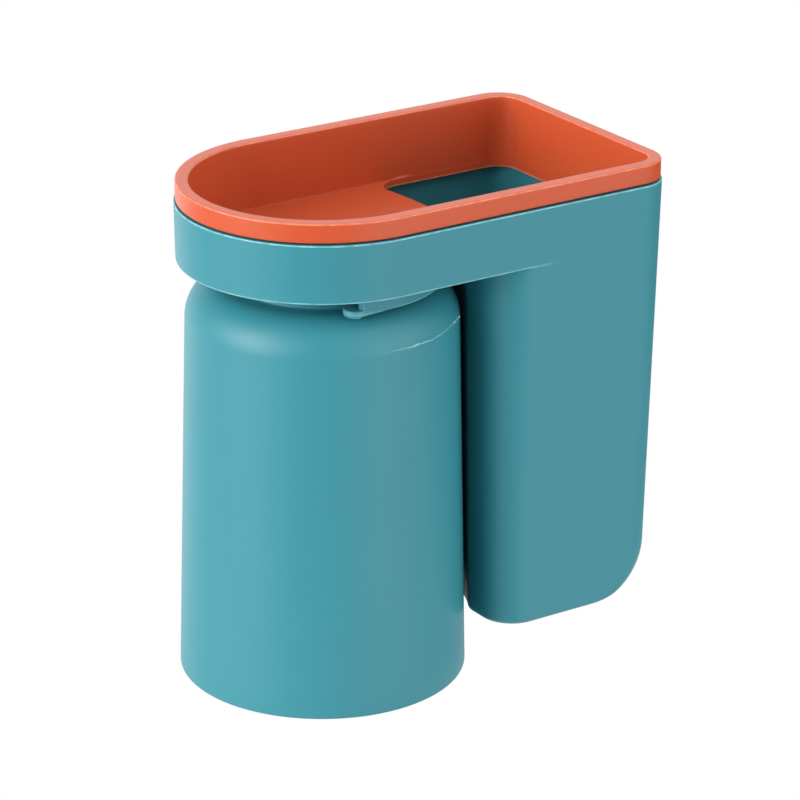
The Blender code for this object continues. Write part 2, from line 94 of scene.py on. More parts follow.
# Rail under the holder's round end
RAIL_OUTER = 31.5
RAIL_WEB_INNER = 28.9
RAIL_INNER = 24.7
RAIL_TOP_Z = -19.8
RAIL_SIDE_Z = -20.6
RAIL_BOTTOM_Z = -21.4
RAIL_END_TOP = 0.5  # how much lower the top of the lip's ends is
RAIL_END_FOOT = 0.9  # how much lower their foot is
RAIL_NOSE_Y = -93.0
RAIL_FOOT_ROUND = 0.4
RAIL_TOP_ROUND = 0.3
RAIL_INTO_SHELF = 0.4
RAIL_ARC_POINTS = 97
RAIL_NOSE_POINTS = 25
RAIL_LEAVE_POINTS = 5  # the points over which the lip's round ends come free of the web
RAIL_FADE_POINTS = 3  # the points over which the ends' lower foot and top fade out

# Storage tray
RIM_LOW = -0.1
RIM_TOP = 5.0
RIM_OUTER = 0.4
RIM_INNER = 3.7
RIM_EXTRA = 0.5  # how much wider the rim is along the straight sides
RIM_EDGE = 0.5
RIM_FOOT = 0.3
BASIN_EXTRA = 0.4  # the share of the rim's extra width that is left at the floor
BASIN_ROWS = (1.0, -3.0, -7.0, -10.0)  # heights of the rows of points down the basin's wall
SKIRT_INSET = 2.3
SKIRT_ROW = -7.0  # height of the row of points half way up the skirt
UNDER_RIM_ROW = 1.2  # inset of the row under the rim
BASIN_LAST_ROW = 1.0  # how far over the floor the basin's last row is
FLOOR_ROWS = (0.03, 0.15, 0.3, 0.5, 0.7, 0.85, 0.97)  # rows across the floor, as shares of the way
TRAY_UNDERSIDE = -14.6
TRAY_FLOOR = -13.2
OPENING_Y = -46.7
OPENING_BOW = 1.6
OPENING_SKIRT = 0.5  # how far the wall reaches below the floor round the opening
OPENING_CORNER = (5.6, 6.2)
OPENING_INSET = 0.1  # how far its edge stands in from the basin's wall
OPENING_EDGE = 0.25
TRAY_FILLET = 0.15
FILLET_RUN = 3.0  # the fillet and the opening's edge grow to full size over this width of floor

# Cup, from the underside of its flange
CUP_SEAT_Z = -19.5
FLANGE_RADIUS = 27.2
FLANGE_TOP = 2.0
FLANGE_ROUND = 0.4
FLANGE_FOOT = (1.2, 1.1)  # the larger round at its lower edge, across and up
NECK_RADIUS = 23.7
NECK_FILLETS = (0.4, 0.6)  # under the flange and on the shoulder
RECESS_RADIUS = 21.4
RECESS_FILLET = 0.7  # round the recess's floor
RECESS_EDGE = 0.3  # at its mouth
CUP_BASE_Z = -2.9
BASE_THICKNESS = 2.2
SHOULDER_X = 26.7
SHOULDER_WIDTH = 8.9
SHOULDER_HEIGHT = 10.15
MOUTH_RADIUS = 38.0
MOUTH_Z = -110.8
CUP_WALL = 2.1
LIP = 0.9
CUP_COLUMNS = 288
FLASH_POINTS = 700

# Flash on the cup's shoulder: its height from the flange's underside, angles about the cup's axis
# in degrees, half thicknesses, and places along it as shares of its run
FLASH_Z = -11.5
FLASH_RUN = (-9.0, 51.0)
FLASH_MIDDLE = (9.0, 6.0)  # where the thick middle is, and how wide
FLASH_END = (32.0, 4.0)  # where the lumps near the end begin, and over what angle they grow
FLASH_THIN = 0.015
FLASH_SIZES = (0.06, 0.11, 0.20)  # along the whole run, more in its middle, and more in the lumps
FLASH_FADES = (0.30, 0.04)  # the shares over which it grows at its start and fades at its end
FLASH_LUMPS = ((47, 1.0), (83, 0.3), (131, 2.5), (211, 5.0))  # waves a radian, and where they start
FLASH_GAPS = (0.15, 0.3)  # near the end: the mean size, and how far the lumps change it
FLASH_UNEVEN = (0.25, 0.3, 1.4)  # elsewhere: how far they change it, the least and the most
FLASH_RISE = (0.5, 0.15, 0.35)  # where it starts to climb, over what share and by how much
FLASH_FALL = (0.86, 0.14, 0.9)  # where it starts to drop, over what share and by how much
FLASH_DRIFT = ((11, 0.4), (29, 1.9), (61, 4.0))
FLASH_WANDER = 0.06  # how far the drift moves it up and down
FLASH_TALL = 1.2  # how much taller than thick it is

# Wall plate and pad: half width, half height, corner and the middle's height; how far the near and
# the far side are from the wall; and the round of the edges
PLATE = ((22.0, 30.0, 5.0, 0.0), 1.1, 2.7, 0.3)
TONGUE_STEM = ((5.7, 11.0, 1.5, 7.7), 2.2, 6.2, 0.0)
TONGUE_HEAD = ((10.7, 12.0, 1.5, 7.7), 5.9, 7.7, 0.3)
PAD = ((21.0, 29.0, 4.0, 0.0), 0.0, 0.8, 0.12)


def quarter_turn(steps):
    """Angles of a quarter circle, from nothing to a right angle."""
    return np.linspace(0.0, math.pi / 2, steps + 1)


def directions(angle):
    """Unit directions seen from above: the cosine and the sine of each angle."""
    return np.stack([np.cos(angle), np.sin(angle)], -1)


def fan(angle, rows):
    """The directions at these angles, the same in every row."""
    return np.broadcast_to(directions(angle), (rows, angle.size, 2))


def spread(values, columns):
    """One value a row, the same in every column."""
    return np.broadcast_to(values[:, None], (values.size, columns))


def arc_xy(centre, radius, start, end, steps):
    """Points on an arc: the centre plus the radius times the cosine and sine of the angle.

    The radius may be a pair, across and up, for an arc of an ellipse.
    """
    angle = np.linspace(start, end, steps + 1)
    return np.array(centre) + np.array(radius) * directions(angle)


def ring_quads(rows, columns, start):
    """Quads between neighbouring rows of a grid whose last column meets its first."""
    index = start + np.arange(rows * columns).reshape(rows, columns)
    beside = np.roll(index, -1, axis=1)
    return np.stack([index[:-1], beside[:-1], beside[1:], index[1:]], axis=-1).reshape(-1, 4)


def piece(name, grids, material):
    """One closed mesh from grids of points, each (rows, columns, 3) and closed round its columns.

    A grid's first and last rows are capped with a flat face unless they are joined to each other
    or shrink to a point. Doubles are welded and the faces turned outwards.
    """
    points, faces, start = [], [], 0
    for grid, capped in grids:
        rows, columns = grid.shape[:2]
        points.append(grid.reshape(-1, 3))
        faces += ring_quads(rows, columns, start).tolist()
        if capped:
            faces.append(list(range(start, start + columns)))
            faces.append(list(range(start + (rows - 1) * columns, start + rows * columns)))
        start += rows * columns
    place = (np.concatenate(points) + np.array(HOLDER_SEAT)) * MM
    mesh = bpy.data.meshes.new(name)
    mesh.from_pydata(place.tolist(), [], faces)
    bm = bmesh.new()
    bm.from_mesh(mesh)
    bmesh.ops.remove_doubles(bm, verts=bm.verts, dist=WELD)
    bmesh.ops.dissolve_degenerate(bm, edges=bm.edges, dist=WELD / 2)
    bmesh.ops.recalc_face_normals(bm, faces=bm.faces)
    bm.to_mesh(mesh)
    bm.free()
    mesh.shade_smooth()
    mesh.set_sharp_from_angle(angle=CREASE)
    mesh.materials.append(material)
    obj = bpy.data.objects.new(name, mesh)
    bpy.context.scene.collection.objects.link(obj)
    return obj


# Outlines seen from above. Each is the right half, from the middle of the front to the middle of
# the back; the left half is its mirror image.


def front_place(foot):
    """Centres of the front corner's arc and of the bay's rounded edge, and where the bay begins.

    The edge's arc lies on the pocket's front and touches the bay's arc at the angle touch.
    """
    front = FRONT_Y + foot
    edge_y = front + BAY_EDGE
    rise = edge_y - CUP_AXIS_Y
    edge_x = np.sqrt((BAY_RADIUS + foot + BAY_EDGE) ** 2 - rise**2)
    touch = np.arctan2(rise, edge_x)
    return HALF_WIDTH - FRONT_CORNER - foot, front + FRONT_CORNER, edge_x, edge_y, touch


ARC_STEPS = 96
SIDE_STEPS = 16
BAY_EDGE_STEPS = 12
LAND_STEPS = 8
CORNER_STEPS = 24
BACK_CORNER_STEPS = 20
# Places across the back edge, close together at the boss's side
BACK_X = np.array(
    [28.1, 27.5, 24.0, 20.0, 16.0, 13.1, 12.8, 12.75, 12.6, 12.4, 12.0, 9.0, 6.0, 3.0, 0.0]
)
BACK_STILL_X = 14.0  # nearer to the middle than this, they don't move with the foot's rounding


def back_and_side(foot, back_foot):
    """The side behind the front corner, the back corner and the back edge, with their outward
    directions.

    The side moves in by the foot's rounding and the back by its own larger rounding.
    """
    front_corner_y = front_place(foot)[1]
    corner_y = -BACK_CORNER - back_foot
    share = np.linspace(0.0, 1.0, 9)[1:-1]
    side_y = front_corner_y + (corner_y - front_corner_y) * share
    side = np.stack(np.broadcast_arrays(HALF_WIDTH - foot, side_y), -1)
    side_out = np.broadcast_to([1.0, 0.0], side.shape)
    corner_out = fan(quarter_turn(BACK_CORNER_STEPS), foot.shape[0])
    centre = np.stack([HALF_WIDTH - BACK_CORNER - foot, corner_y], -1)
    corner = centre + BACK_CORNER * corner_out
    moves = np.clip((BACK_X[1:] - BACK_STILL_X) / (BACK_X[0] - BACK_STILL_X), 0.0, 1.0)
    back = np.stack(np.broadcast_arrays(BACK_X[1:] - foot * moves, -back_foot), -1)
    back_out = np.broadcast_to([0.0, 1.0], back.shape)
    return (np.concatenate([side, corner, back], 1),
            np.concatenate([side_out, corner_out, back_out], 1))


def d_front(foot):
    """Half of the round end, then the straight side up to the end of the front corner."""
    end_out = fan(np.linspace(-math.pi / 2, 0.0, ARC_STEPS + 1), foot.shape[0])
    end = np.array([0.0, CUP_AXIS_Y]) + (HALF_WIDTH - foot)[..., None] * end_out
    corner_y = front_place(foot)[1]
    share = np.linspace(0.0, 1.0, SIDE_STEPS + 1)[1:]
    lower = CUP_AXIS_Y + (corner_y - FRONT_CORNER - CUP_AXIS_Y) * share
    upper = corner_y - FRONT_CORNER * np.cos(quarter_turn(CORNER_STEPS)[1:])
    side_y = np.concatenate([lower, upper], 1)
    side = np.stack(np.broadcast_arrays(HALF_WIDTH - foot, side_y), -1)
    side_out = np.broadcast_to([1.0, 0.0], side.shape)
    return np.concatenate([end, side], 1), np.concatenate([end_out, side_out], 1)


def bay_front(foot):
    """Half of the bay's arc about the cup's axis, its round edge, the flat front and the corner."""
    corner_x, corner_y, edge_x, edge_y, touch = front_place(foot)
    steps = ARC_STEPS + SIDE_STEPS - BAY_EDGE_STEPS - LAND_STEPS
    angle = math.pi / 2 + (touch - math.pi / 2) * np.linspace(0.0, 1.0, steps + 1)
    bay_in = directions(angle)
    bay = np.array([0.0, CUP_AXIS_Y]) + (BAY_RADIUS + foot)[..., None] * bay_in
    start = math.pi + touch
    angle = start + (1.5 * math.pi - start) * np.linspace(0.0, 1.0, BAY_EDGE_STEPS + 1)[1:]
    edge_out = directions(angle)
    edge = np.stack([edge_x, edge_y], -1) + BAY_EDGE * edge_out
    share = np.linspace(0.0, 1.0, LAND_STEPS + 1)[1:]
    land_x = edge_x + (corner_x - edge_x) * share
    land = np.stack(np.broadcast_arrays(land_x, edge_y - BAY_EDGE), -1)
    land_out = np.broadcast_to([0.0, -1.0], land.shape)
    corner_out = fan(1.5 * math.pi + quarter_turn(CORNER_STEPS)[1:], foot.shape[0])
    corner = np.stack([corner_x, corner_y], -1) + FRONT_CORNER * corner_out
    return (np.concatenate([bay, edge, land, corner], 1),
            np.concatenate([-bay_in, edge_out, land_out, corner_out], 1))


def both_halves(right):
    """The right half followed by its mirror image, as one closed row of points."""
    left = right[:, -2:0:-1] * np.array([-1.0, 1.0, 1.0])
    return np.concatenate([right, left], 1)


def outline(front, inset, z, foot=None, back_foot=None):
    """Rows of points: the outline less its outward direction times the inset, at height z."""
    rows = z.shape[0]
    foot = np.zeros((rows, 1)) if foot is None else foot
    back_foot = np.zeros((rows, 1)) if back_foot is None else back_foot
    front_at, front_out = front(foot)
    rest_at, rest_out = back_and_side(foot, back_foot)
    out = np.concatenate([front_out, rest_out], 1)
    at = np.concatenate([front_at, rest_at], 1) - inset[..., None] * out
    return np.concatenate([at, np.broadcast_to(z, at.shape[:2])[..., None]], -1)


def shelf_width():
    """How far the bay's outline lies from the D's, column by column."""
    none = np.zeros((1, 1))
    d_at, _ = d_front(none)
    bay_at, _ = bay_front(none)
    width = np.linalg.norm(d_at - bay_at, axis=-1)
    rest = back_and_side(none, none)[0].shape[1]
    return np.concatenate([width, np.zeros((1, rest))], 1)


def skin(wall, shelf_z, foot_z, shelf_bends):
    """The holder's skin from the middle of its top edge down to its foot, drawn in by the wall.

    Down the drafted D, round a small bend on to the shelf, straight across to the bay, round a
    small bend down the pocket's wall, and round the foot: each bend and round is the radius times
    one less the sine or cosine of its angle. With no wall it is the outside; with the wall it is
    the hollow, whose back stands further forward over the keyway's boss.
    """
    side = 1.0 if wall else -1.0
    turn = quarter_turn(6)
    lip_inset = wall - side * EDGE * (1 - np.sin(turn))
    lip_inset = np.concatenate([[WALL / 2, wall - side * EDGE * LIP_ROW], lip_inset])
    lip_z = RING_TOP + np.concatenate([[0.0, 0.0], -EDGE * (1 - np.cos(turn))])
    first, second = shelf_bends
    wall_z = np.array([RING_TOP - EDGE * 2, *RING_ROWS, shelf_z + first * 2])
    rows_z = np.concatenate([lip_z, wall_z])
    rows_inset = np.concatenate([lip_inset, np.full(wall_z.size, wall)])
    room = np.clip(shelf_width() / (first + second), 0.0, 1.0)
    turn = quarter_turn(8)[:, None]
    columns = room.shape[1]
    bend_inset = wall + first * room * (1 - np.cos(turn))
    bend_z = shelf_z + first * room * (1 - np.sin(turn))
    inset = np.concatenate([spread(rows_inset, columns), bend_inset])
    z = np.concatenate([spread(rows_z, columns), bend_z])
    upper = outline(d_front, inset - z * DRAFT, z)

    pull_inset = wall - second * room * (1 - np.sin(turn))
    pull_z = shelf_z - second * room * (1 - np.cos(turn))
    foot_round = FOOT_ROUND - wall
    back_round = BACK_FOOT_ROUND - wall
    levels = np.concatenate([
        foot_z + foot_round * (1 - np.sin(quarter_turn(10))),
        foot_z + back_round * (1 - np.sin(quarter_turn(18))),
        foot_z + back_round * np.array(FOOT_ROWS),
        np.linspace(shelf_z - second * 2, POCKET_ROWS_END, 16),
        KEYWAY_TOP_Z + BOSS_ABOVE + BOSS_SLOPES[1] * np.array(BOSS_ROWS),
    ])
    levels = np.unique(np.round(levels, 4))[::-1]
    z = np.concatenate([pull_z, spread(levels, columns)])
    inset = np.concatenate([pull_inset, np.full((levels.size, columns), wall)])
    low = np.concatenate([np.full(turn.size, shelf_z), levels])[:, None]

    def rounding(radius):
        """How far the foot's round draws in: the radius less the circle's height at this level."""
        drop = np.clip((foot_z + radius - low) / radius, 0.0, 1.0)
        return radius * (1 - np.sqrt(1 - drop**2))

    lower = outline(bay_front, inset - z * DRAFT, z, rounding(foot_round), rounding(back_round))
    share = np.array(SHELF_ROWS)[:, None, None]
    across = upper[-1] + (lower[0] - upper[-1]) * share
    rows = np.concatenate([upper, across, lower])
    if wall:
        x, y, z = rows[..., 0], rows[..., 1], rows[..., 2]
        side_slope, top_slope = BOSS_SLOPES
        within = np.clip((BOSS_HALF - np.abs(x)) / side_slope, 0.0, 1.0)
        under = np.clip((KEYWAY_TOP_Z + BOSS_ABOVE - z) / top_slope, 0.0, 1.0)
        over = np.where(y > -BOSS_DEPTH * 2, within * under, 0.0)
        rows[..., 1] = y + (np.minimum(y, -BOSS_DEPTH) - y) * over * over * (3 - 2 * over)
    return both_halves(rows)


def section(outline_xy, low_z, high_z, edge, steps):
    """A flat-ended bar with this outline and small rounds at both ends.

    The outline is a function of its inset; each end's rows shrink along a quarter circle.
    """
    turn = quarter_turn(steps)
    inset = np.concatenate([edge * (1 - np.sin(turn)), [0.0], edge * (1 - np.cos(turn))])
    z = np.concatenate([low_z + edge * (1 - np.cos(turn)), [(low_z + high_z) / 2],
                        high_z - edge * (1 - np.sin(turn))])
    plans = np.stack([outline_xy(value) for value in inset])
    return np.concatenate([plans, np.broadcast_to(z[:, None, None], (*plans.shape[:2], 1))], -1)


def bar(plan, low_z, high_z):
    """A sharp-edged bar with the same plan at every height, which cuts a hole."""
    return section(lambda _inset: plan, low_z, high_z, 0.0, 1), True


def box_plan(half_x, near_y, far_y):
    """Four corners of a rectangle seen from above."""
    return np.array([[half_x, near_y], [half_x, far_y], [-half_x, far_y], [-half_x, near_y]])


def cut(obj, name, grids):
    """Cut closed helper shapes out of a finished mesh, and leave nothing of the helpers."""
    helper = piece(name, grids, obj.data.materials[0])
    modifier = obj.modifiers.new(name, "BOOLEAN")
    modifier.operation = "DIFFERENCE"
    modifier.solver = "EXACT"
    modifier.object = helper
    graph = bpy.context.evaluated_depsgraph_get()
    finished = bpy.data.meshes.new_from_object(obj.evaluated_get(graph))
    obj.modifiers.remove(modifier)
    obj.data = finished
    bpy.data.objects.remove(helper)


def rail_plans():
    """The rail's lip and web from above, column for column, with the lip's outward directions.

    The lip is a U between two radii about the cup's axis with round ends. The web is a thinner U
    that shares its outside and ends flat where the lip's round ends begin. Three rows of shares
    follow: how free the lip stands from the web, its round ends alone, and the ends with the first
    points of the arcs beside them.
    """
    nose = (RAIL_OUTER - RAIL_INNER) / 2
    middle = RAIL_INNER + nose
    half = directions(np.linspace(0.0, math.pi, RAIL_ARC_POINTS))
    end = directions(np.linspace(math.pi, 2 * math.pi, RAIL_NOSE_POINTS + 2)[1:-1])
    share = np.linspace(0.0, 1.0, RAIL_NOSE_POINTS + 2)[1:-1, None]
    axis = np.array([0.0, CUP_AXIS_Y])
    lip = [axis + RAIL_OUTER * half, [-middle, RAIL_NOSE_Y] + nose * end,
           axis + RAIL_INNER * half[::-1], [middle, RAIL_NOSE_Y] + nose * end]
    out = [half, end, -half[::-1], end]
    far, near = np.array([RAIL_OUTER, RAIL_NOSE_Y]), np.array([RAIL_WEB_INNER, RAIL_NOSE_Y])
    mirror = np.array([-1.0, 1.0])
    web = [axis + RAIL_OUTER * half, mirror * (far + (near - far) * share),
           axis + RAIL_WEB_INNER * half[::-1], near + (far - near) * share]

    arc, tip = np.zeros(RAIL_ARC_POINTS), np.ones(RAIL_NOSE_POINTS)
    along = np.cumsum(tip)
    leaving = np.clip(along / RAIL_LEAVE_POINTS, 0, 1)
    free = np.concatenate([arc, leaving, arc + 1, leaving[::-1]])
    left = RAIL_NOSE_POINTS / 2 + 1 - np.abs(along - along.mean())
    inside = np.clip(left / RAIL_FADE_POINTS, 0, 1)
    ends = np.concatenate([arc, inside, arc, inside])
    step = np.arange(RAIL_ARC_POINTS)
    beside = np.clip(1 - np.minimum(step, step[::-1]) / RAIL_FADE_POINTS, 0, 1)
    around = np.concatenate([beside, tip, beside, tip])
    return np.concatenate(lip), np.concatenate(out), np.concatenate(web), free, ends, around


def rail():
    """The rail in one grid: rounded foot, lip, the lip's top and the web up into the shelf.

    The foot and the lip's top are drawn in by a quarter circle. At the two ends the foot and the
    top hang a little lower.
    """
    lip, out, web, free, ends, around = rail_plans()
    turn = quarter_turn(5)
    inset = np.concatenate(
        [RAIL_FOOT_ROUND * (1 - np.sin(turn)), [0.0], RAIL_TOP_ROUND * (1 - np.cos(turn))])
    z = np.concatenate([RAIL_BOTTOM_Z + RAIL_FOOT_ROUND * (1 - np.cos(turn)), [RAIL_SIDE_Z],
                        RAIL_TOP_Z - RAIL_TOP_ROUND * (1 - np.sin(turn))])
    weight = np.where(np.arange(inset.size)[:, None] > turn.size, free, 1.0)
    rows = lip - (inset[:, None] * weight)[..., None] * out
    rows = np.concatenate([rows, np.broadcast_to(web, (2, *web.shape))])
    z = np.concatenate([z, [RAIL_TOP_Z, SHELF_Z + RAIL_INTO_SHELF]])[:, None]
    drop = np.where(z < RAIL_SIDE_Z, ends * RAIL_END_FOOT, around * RAIL_END_TOP)
    drop = np.where(z > RAIL_TOP_Z, 0.0, drop)
    return np.concatenate([rows, (z - drop)[..., None]], -1)


def holder(material):
    """The holder's moulding: skin, rail, keyway and drain holes."""
    outside = skin(0.0, SHELF_Z, FOOT_Z, (EDGE, 0.5))
    hollow = skin(WALL, SHELF_Z + SHELF_FLOOR, FOOT_Z + POCKET_FLOOR, (0.5, EDGE))
    body = piece("holder_finish", [(np.concatenate([hollow[::-1], outside]), True)], material)
    t_half = np.array([[KEYWAY_HALF, -KEYWAY_DEPTH], [KEYWAY_HALF, -KEYWAY_LIP],
                       [SLOT_HALF, -KEYWAY_LIP], [SLOT_HALF, CUT_PAST]])
    t_plan = np.concatenate([t_half, t_half[::-1] * [-1.0, 1.0]])
    cut(body, "keyway", [bar(t_plan, LIP_END_Z - CUT_PAST, KEYWAY_TOP_Z)])
    window_plan = box_plan(WINDOW_HALF, -WINDOW_DEPTH, CUT_PAST)
    cut(body, "window", [bar(window_plan, FOOT_Z - CUT_PAST, LIP_END_Z)])
    circles = [arc_xy((x, DRAIN_Y), DRAIN_RADIUS, 0, 2 * math.pi, 40)[:-1]
               for x in (-DRAIN_SPACING, 0.0, DRAIN_SPACING)]
    floor_top = FOOT_Z + POCKET_FLOOR
    cut(body, "drains", [bar(plan, FOOT_Z - CUT_PAST, floor_top + CUT_PAST) for plan in circles])
    band = piece("rail", [(rail(), True)], material)
    bm = bmesh.new()
    bm.from_mesh(body.data)
    bm.from_mesh(band.data)
    bm.to_mesh(body.data)
    bm.free()
    bpy.data.objects.remove(band)
    body.data.shade_smooth()
    body.data.set_sharp_from_angle(angle=CREASE)
    return body


def tray_opening():
    """The opening's edge at the floor, column for column with the D's outline.

    From the middle outwards the edge bows to the front by one less the cube of its share of the
    way, and ends in a corner that is a quarter of an ellipse.
    """
    floor_inset = RIM_INNER + (RIM_TOP - TRAY_FLOOR) * DRAFT
    none = np.zeros((1, 1))
    rest_at, rest_out = back_and_side(none, none)
    extra = BASIN_EXTRA * RIM_EXTRA
    half = HALF_WIDTH - floor_inset - extra - OPENING_INSET
    rest = rest_at - (floor_inset + OPENING_INSET + extra * rest_out[..., :1] ** 2) * rest_out
    wide, deep = OPENING_CORNER
    corner = arc_xy((half - wide, OPENING_Y + deep), OPENING_CORNER, -math.pi / 2, 0, CORNER_STEPS)
    share = np.linspace(0.0, 1.0, d_front(none)[0].shape[1] - CORNER_STEPS)[:-1]
    edge = np.stack([share * (half - wide), OPENING_Y + OPENING_BOW * (1 - share**3)], -1)
    return np.concatenate([np.concatenate([edge, corner])[None], rest], 1)


def tray(material):
    """The tray as one ring: skirt, rim, basin wall, floor, opening edge and underside.

    Every row is the D's outline drawn in by its inset, with rounds that are the radius times one
    less the sine or cosine. The floor is a straight blend from the wall's fillet to the opening.
    """
    turn = quarter_turn(6)
    inset = np.concatenate([
        [SKIRT_INSET, SKIRT_INSET, SKIRT_INSET, UNDER_RIM_ROW, RIM_OUTER + RIM_FOOT],
        RIM_OUTER + RIM_FOOT * (1 - np.sin(turn)),
        [RIM_OUTER, RIM_OUTER],
        RIM_OUTER + RIM_EDGE * (1 - np.cos(turn)),
        [RIM_OUTER + RIM_EDGE * 2, RIM_INNER - RIM_EDGE * 2],
        RIM_INNER - RIM_EDGE * (1 - np.sin(turn)),
        [RIM_INNER] * 6,
    ])
    z = np.concatenate([
        [TRAY_UNDERSIDE, SKIRT_ROW, RIM_LOW, RIM_LOW, RIM_LOW],
        RIM_LOW + RIM_FOOT * (1 - np.cos(turn)),
        [RIM_LOW + RIM_FOOT * 2, RIM_TOP - RIM_EDGE * 2],
        RIM_TOP - RIM_EDGE * (1 - np.sin(turn)),
        [RIM_TOP, RIM_TOP],
        RIM_TOP - RIM_EDGE * (1 - np.cos(turn)),
        [RIM_TOP - RIM_EDGE * 3, *BASIN_ROWS, TRAY_FLOOR + BASIN_LAST_ROW],
    ])
    draft = np.zeros(z.size)
    draft[:2] = -z[:2] * DRAFT
    lip_end = z.size - 6
    draft[lip_end:] = (RIM_TOP - z[lip_end:]) * DRAFT
    columns = shelf_width().shape[1]
    none = np.zeros((1, 1))
    front_out = d_front(none)[1]
    sideways = np.concatenate([front_out, back_and_side(none, none)[1]], 1)[..., 0] ** 2
    rim_top = RIM_INNER - RIM_OUTER - RIM_EDGE * 4
    inner = np.clip((inset - RIM_OUTER - RIM_EDGE * 2) / rim_top, 0.0, 1.0)
    inner[:5] = 0.0
    inner[lip_end:] = np.linspace(1.0, BASIN_EXTRA, 6)
    wider = RIM_EXTRA * inner[:, None] * sideways
    upper = outline(d_front, (inset + draft)[:, None] + wider, spread(z, columns))

    edge_at = tray_opening()
    floor_inset = RIM_INNER + (RIM_TOP - TRAY_FLOOR) * DRAFT + BASIN_EXTRA * RIM_EXTRA * sideways
    wall_foot = outline(d_front, floor_inset, np.zeros((1, columns)))[..., :2]
    width = np.linalg.norm(wall_foot - edge_at, axis=-1)
    room = np.clip((width - OPENING_INSET) / FILLET_RUN, 0.0, 1.0)
    fillet = TRAY_FILLET * room
    turn = quarter_turn(8)[:, None]
    bend_inset = floor_inset + fillet * (1 - np.cos(turn))
    bend_z = TRAY_FLOOR + fillet * (1 - np.sin(turn))
    bend = outline(d_front, bend_inset, bend_z)
    small = OPENING_EDGE * room
    edge_pull = small * (1 - np.sin(turn))
    direction = np.where(room[..., None] > 0, np.array([0.0, -1.0]), np.array([0.0, 0.0]))
    edge_xy = edge_at + edge_pull[..., None] * direction
    edge = np.concatenate([edge_xy, (TRAY_FLOOR - small * (1 - np.cos(turn)))[..., None]], -1)
    share = np.array(FLOOR_ROWS)[:, None, None]
    across = bend[-1] + (edge[0] - bend[-1]) * share
    low_edge = edge[-1:].copy()
    low_edge[..., 2] = TRAY_UNDERSIDE - OPENING_SKIRT
    upper[0, front_out.shape[1]:, 2] -= OPENING_SKIRT
    right = np.concatenate([upper, bend, across, edge, low_edge, upper[:1]])
    return piece("tray_finish", [(both_halves(right), False)], material)


def turned(profile, steps):
    """A profile of (radius, height) carried round the cup's upright axis."""
    angle = np.linspace(0.0, 2 * math.pi, steps, endpoint=False)
    radius, height = profile[:, :1], profile[:, 1:]
    return np.stack([radius * np.cos(angle), CUP_AXIS_Y + radius * np.sin(angle),
                     np.broadcast_to(height + CUP_SEAT_Z, (profile.shape[0], steps))], -1)


def cup_profile():
    """Half section of the cup: recess, flange, neck, shoulder, body, lip and inside."""
    quarter = math.pi / 2
    side_x = SHOULDER_X + SHOULDER_WIDTH
    shoulder_z = CUP_BASE_Z - SHOULDER_HEIGHT
    upper, lower = NECK_FILLETS
    fillet, mouth, edge = RECESS_FILLET, RECESS_EDGE, FLANGE_ROUND
    foot_wide, foot_high = FLANGE_FOOT
    inner = (SHOULDER_WIDTH - CUP_WALL, SHOULDER_HEIGHT - CUP_WALL)
    straight = np.linspace(0.0, 1.0, 15)[1:-1, None]
    body_top = np.array([[side_x, shoulder_z]])
    body_end = np.array([[MOUTH_RADIUS, MOUTH_Z + LIP]])
    inside_end = np.array([[MOUTH_RADIUS - CUP_WALL, MOUTH_Z + LIP]])
    inside_top = np.array([[side_x - CUP_WALL, CUP_BASE_Z - BASE_THICKNESS - inner[1]]])
    return np.concatenate([
        [[0.0, CUP_BASE_Z], [RECESS_RADIUS - fillet * 2, CUP_BASE_Z]],
        arc_xy((RECESS_RADIUS - fillet, CUP_BASE_Z + fillet), fillet, -quarter, 0, 5),
        arc_xy((RECESS_RADIUS + mouth, FLANGE_TOP - mouth), mouth, 2 * quarter, quarter, 4),
        [[RECESS_RADIUS + 0.8, FLANGE_TOP], [FLANGE_RADIUS - 1.0, FLANGE_TOP]],
        arc_xy((FLANGE_RADIUS - edge, FLANGE_TOP - edge), edge, quarter, 0, 5),
        arc_xy((FLANGE_RADIUS - foot_wide, foot_high), FLANGE_FOOT, 0, -quarter, 8),
        [[NECK_RADIUS + 1.0, 0.0]],
        arc_xy((NECK_RADIUS + upper, -upper), upper, quarter, 2 * quarter, 4),
        arc_xy((NECK_RADIUS + lower, CUP_BASE_Z + lower), lower, 2 * quarter, 3 * quarter, 6),
        arc_xy((SHOULDER_X, shoulder_z), (SHOULDER_WIDTH, SHOULDER_HEIGHT), quarter, 0, 36),
        body_top + (body_end - body_top) * straight,
        arc_xy((MOUTH_RADIUS - LIP, MOUTH_Z + LIP), LIP, 0, -quarter, 6),
        arc_xy((MOUTH_RADIUS - CUP_WALL + LIP, MOUTH_Z + LIP), LIP, -quarter, -2 * quarter, 6),
        inside_end + (inside_top - inside_end) * straight,
        arc_xy((SHOULDER_X, inside_top[0, 1]), inner, 0, quarter, 20),
        [[0.0, CUP_BASE_Z - BASE_THICKNESS]],
    ])


def waves(angle, rows):
    """A sum of sines: each has its waves a radian and its start."""
    return sum(np.sin(angle * count + start) for count, start in rows)


